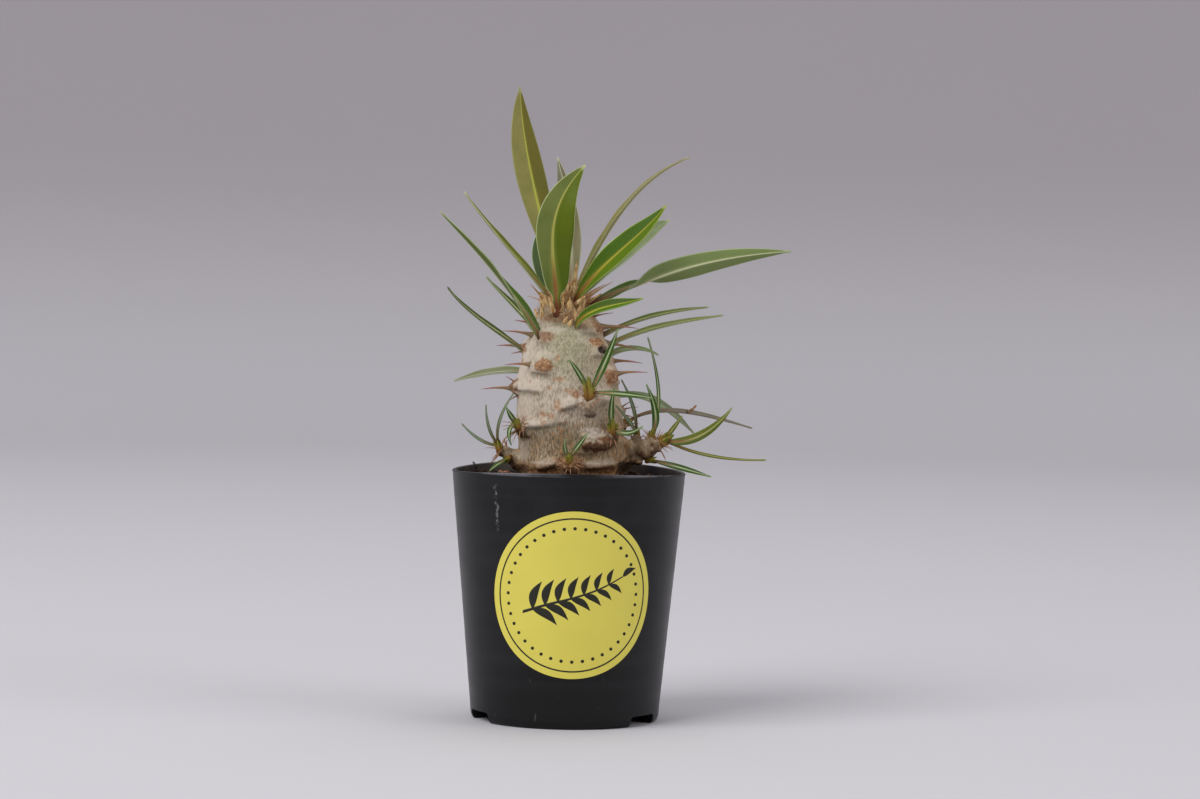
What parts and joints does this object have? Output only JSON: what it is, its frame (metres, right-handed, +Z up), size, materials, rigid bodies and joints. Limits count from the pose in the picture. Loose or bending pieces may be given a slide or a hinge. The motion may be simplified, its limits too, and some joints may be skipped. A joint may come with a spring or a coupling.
{
  "type": "potted pachypodium cactipes",
  "caption": "Young potted pachypodium: bottle-shaped spiny trunk with leaf crown and side shoots, in soil in a flared black nursery pot with a round sticker.",
  "frame": {"origin": "middle of the pot's foot, on the surface it stands on", "axes": "+Z up along the pot; the sticker faces -Y and +X is to the right of it seen from the front"},
  "size_m": [0.1272, 0.1033, 0.2301],
  "materials": {
    "pot_plastic": "injection-moulded black polypropylene, satin",
    "sticker": "yellow coated label stock with dark print",
    "potting_mix": "dark granular cactus mix",
    "bark": "pale grey-beige bark with tan spines",
    "leaf": "waxy green leaf with a pale midrib and margin"
  },
  "bodies": {
    "root": {"label": "sticker", "leaf_arching": "leaf", "leaf_back_high": "leaf", "leaf_back_left": "leaf", "leaf_back_low": "leaf", "leaf_back_right": "leaf", "leaf_blue_left": "leaf", "leaf_broad": "leaf", "leaf_green_right": "leaf", "leaf_grey_right": "leaf", "leaf_left_behind": "leaf", "leaf_left_long": "leaf", "leaf_left_low": "leaf", "leaf_left_short": "leaf", "leaf_left_upright": "leaf", "leaf_long_right": "leaf", "leaf_rear": "leaf", "leaf_right_behind": "leaf", "leaf_right_lower": "leaf", "leaf_right_middle": "leaf", "leaf_right_upper": "leaf", "leaf_small_front": "leaf", "leaf_tall": "leaf", "pot": "pot_plastic", "soil": "potting_mix", "trunk": "bark", "tuft_far_right": "leaf", "tuft_far_right_low": "leaf", "tuft_far_right_upper": "leaf", "tuft_front": "leaf", "tuft_front_right": "leaf", "tuft_left": "leaf", "tuft_left_low": "leaf", "tuft_left_upper": "leaf", "tuft_right": "leaf", "tuft_right_behind": "leaf", "tuft_right_inner": "leaf"}
  },
  "joints": []
}
